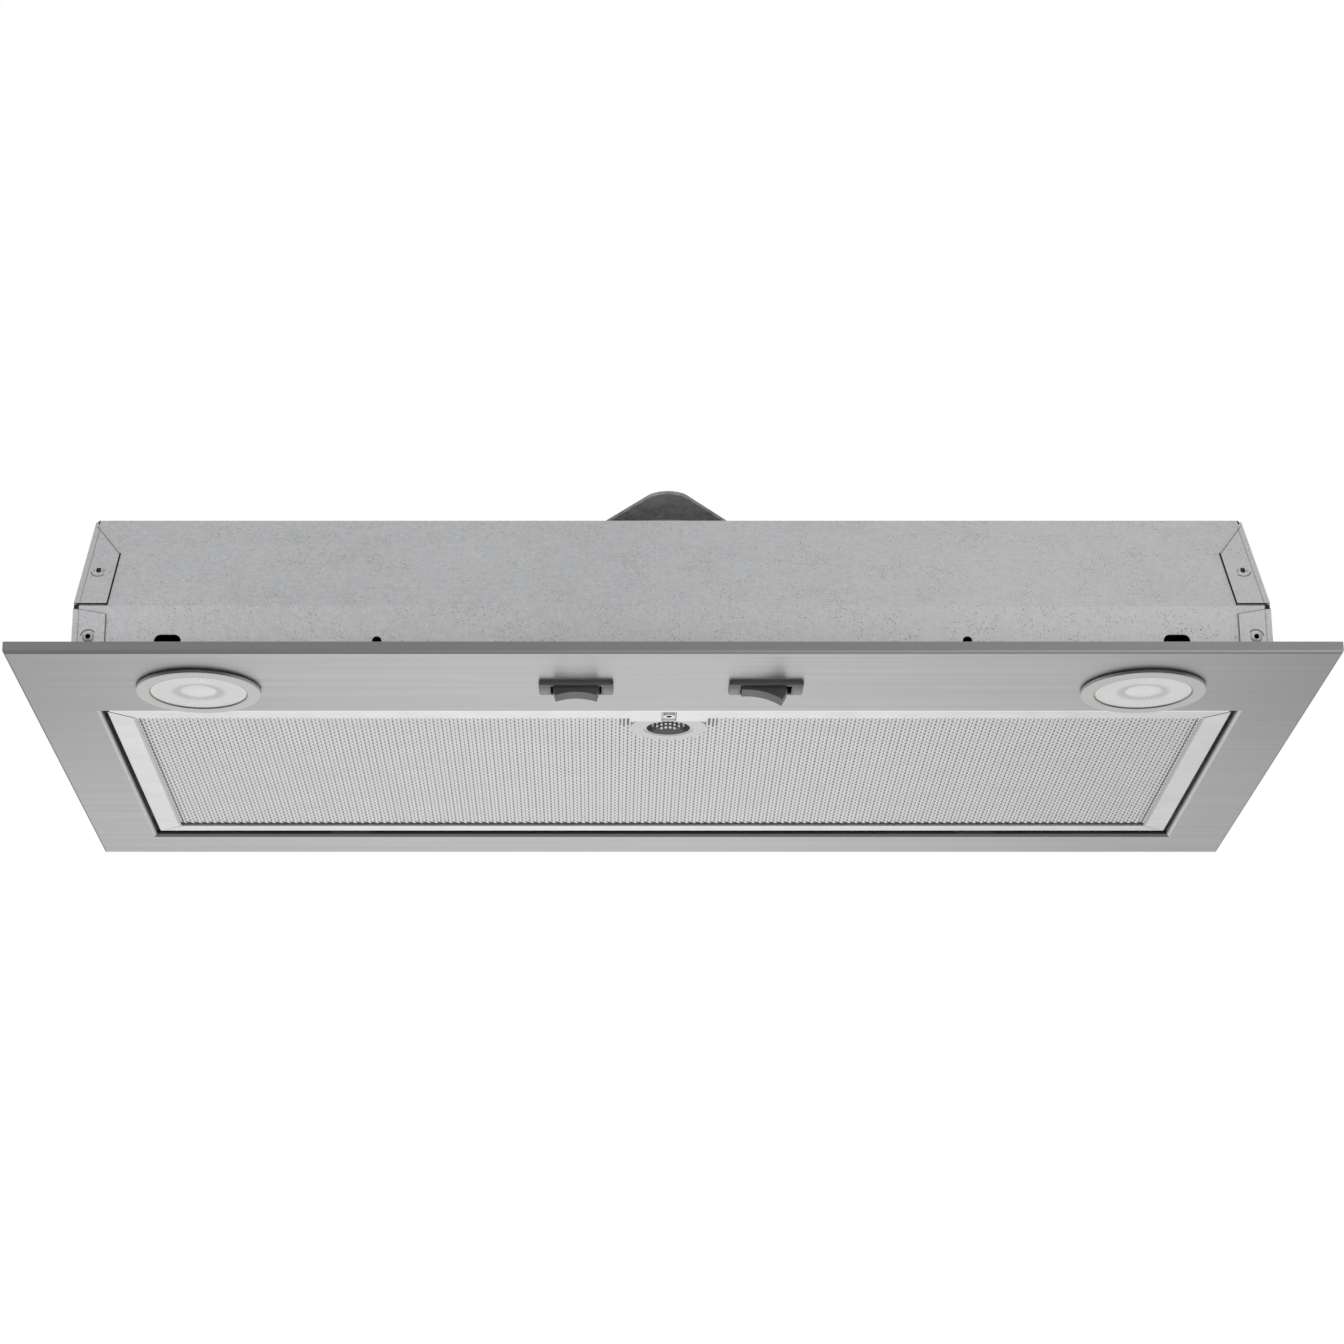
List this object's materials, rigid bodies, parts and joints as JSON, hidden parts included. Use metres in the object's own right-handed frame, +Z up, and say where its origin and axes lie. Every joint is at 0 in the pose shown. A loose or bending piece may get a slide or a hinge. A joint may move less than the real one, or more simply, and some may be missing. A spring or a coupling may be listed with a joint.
{
  "type": "range hood insert",
  "caption": "Range hood insert: folded steel body on a wide trim plate, with hinged mesh filter and latch, round lamps, rocker switches, inner blower and ducted outlet with a flap.",
  "frame": {"origin": "centre of the trim plate's underside", "axes": "+X to the user's right along the plate's width, +Y to the rear, +Z up; the front edge with the switches and lamps is at -Y"},
  "size_m": [0.543, 0.293, 0.129],
  "materials": {
    "trim_steel": "brushed along its length, satin",
    "galvanised": "zinc coated, finely speckled, half matt",
    "bright_steel": "bright zinc plated",
    "filter_aluminium": "bright rolled sheet",
    "mesh_aluminium": "expanded mesh, modelled as a sheet",
    "blower_aluminium": "mill finish",
    "damper_aluminium": "mill finish",
    "bearing_bronze": "sintered bronze",
    "black_rubber": "matt",
    "capacitor_black": "matt moulded",
    "block_white": "moulded",
    "earth_green": "green dyed",
    "lamp_silver": "satin silver",
    "lens_white": "frosted, ribbed",
    "ceramic_cream": "glazed ceramic",
    "switch_dark": "fine matt moulding",
    "rocker_dark": "fine matt moulding",
    "terminal_brass": "tinned edge"
  },
  "bodies": {
    "housing": {"trim_plate": "trim_steel", "body_shell": "galvanised", "left_side_panel": "galvanised", "right_side_panel": "galvanised", "body_rivets": "bright_steel", "inlet_plate": "galvanised", "inlet_ring": "galvanised", "blower_scroll": "galvanised", "motor_housing": "galvanised", "motor_bearings": "bearing_bronze", "motor_bracket": "galvanised", "motor_grommets": "black_rubber", "motor_screws": "bright_steel", "bracket_screws": "bright_steel", "capacitor": "capacitor_black", "capacitor_clip": "galvanised", "duct_collar": "galvanised", "wiring_box": "galvanised", "wiring_cover": "galvanised", "cover_screws": "bright_steel", "terminal_block": "block_white", "ground_screw": "earth_green", "wire_grommet": "black_rubber", "left_lampholder": "ceramic_cream", "right_lampholder": "ceramic_cream", "left_lamp_bracket": "galvanised", "right_lamp_bracket": "galvanised", "fan_switch": "switch_dark", "light_switch": "switch_dark", "switch_terminals": "terminal_brass"},
    "blower_rotor": {"blower_wheel": "blower_aluminium", "motor_shaft": "bright_steel"},
    "damper": {"damper_flap": "damper_aluminium", "damper_rod": "bright_steel"},
    "filter": {"filter_frame": "filter_aluminium", "filter_mesh": "mesh_aluminium", "filter_core": "mesh_aluminium", "filter_back_mesh": "mesh_aluminium", "finger_cup": "filter_aluminium", "filter_hinge_tabs": "bright_steel", "latch_guide": "bright_steel", "latch_spring": "bright_steel"},
    "latch": {"latch_bolt": "bright_steel"},
    "fan_rocker_body": {"fan_rocker": "rocker_dark"},
    "light_rocker_body": {"light_rocker": "rocker_dark"},
    "left_lamp_body": {"left_lamp": "lamp_silver", "left_lens": "lens_white"},
    "right_lamp_body": {"right_lamp": "lamp_silver", "right_lens": "lens_white"}
  },
  "joints": [
    {"name": "blower_spin", "type": "hinge", "parent": "housing", "child": "blower_rotor", "pos_m": [0, -0.0108, 0.06], "axis": [0, 0, 1], "continuous": true},
    {"name": "damper_swing", "type": "hinge", "parent": "housing", "child": "damper", "pos_m": [0, 0.1262, 0.0925], "axis": [-1, 0, 0], "range_deg": [0, 75]},
    {"name": "filter_swing", "type": "hinge", "parent": "housing", "child": "filter", "pos_m": [0, 0.11895, 0.0034], "axis": [1, 0, 0], "range_deg": [0, 60]},
    {"name": "latch_slide", "type": "slide", "parent": "filter", "child": "latch", "axis": [0, 1, 0], "range_m": [0, 0.0045], "stiffness_N_per_m": 300, "springref_m": -0.004, "deforming": ["latch_spring"]},
    {"name": "fan_rocker_tilt", "type": "hinge", "parent": "housing", "child": "fan_rocker_body", "pos_m": [-0.0395, -0.106, 0.002], "axis": [0, 1, 0], "range_deg": [-14, 14]},
    {"name": "light_rocker_tilt", "type": "hinge", "parent": "housing", "child": "light_rocker_body", "pos_m": [0.0395, -0.106, 0.002], "axis": [0, 1, 0], "range_deg": [-28, 0]},
    {"name": "left_lamp_twist", "type": "hinge", "parent": "housing", "child": "left_lamp_body", "pos_m": [-0.197, -0.102, 0.01], "axis": [0, 0, 1], "range_deg": [0, 45]},
    {"name": "right_lamp_twist", "type": "hinge", "parent": "housing", "child": "right_lamp_body", "pos_m": [0.197, -0.102, 0.01], "axis": [0, 0, 1], "range_deg": [0, 45]}
  ]
}
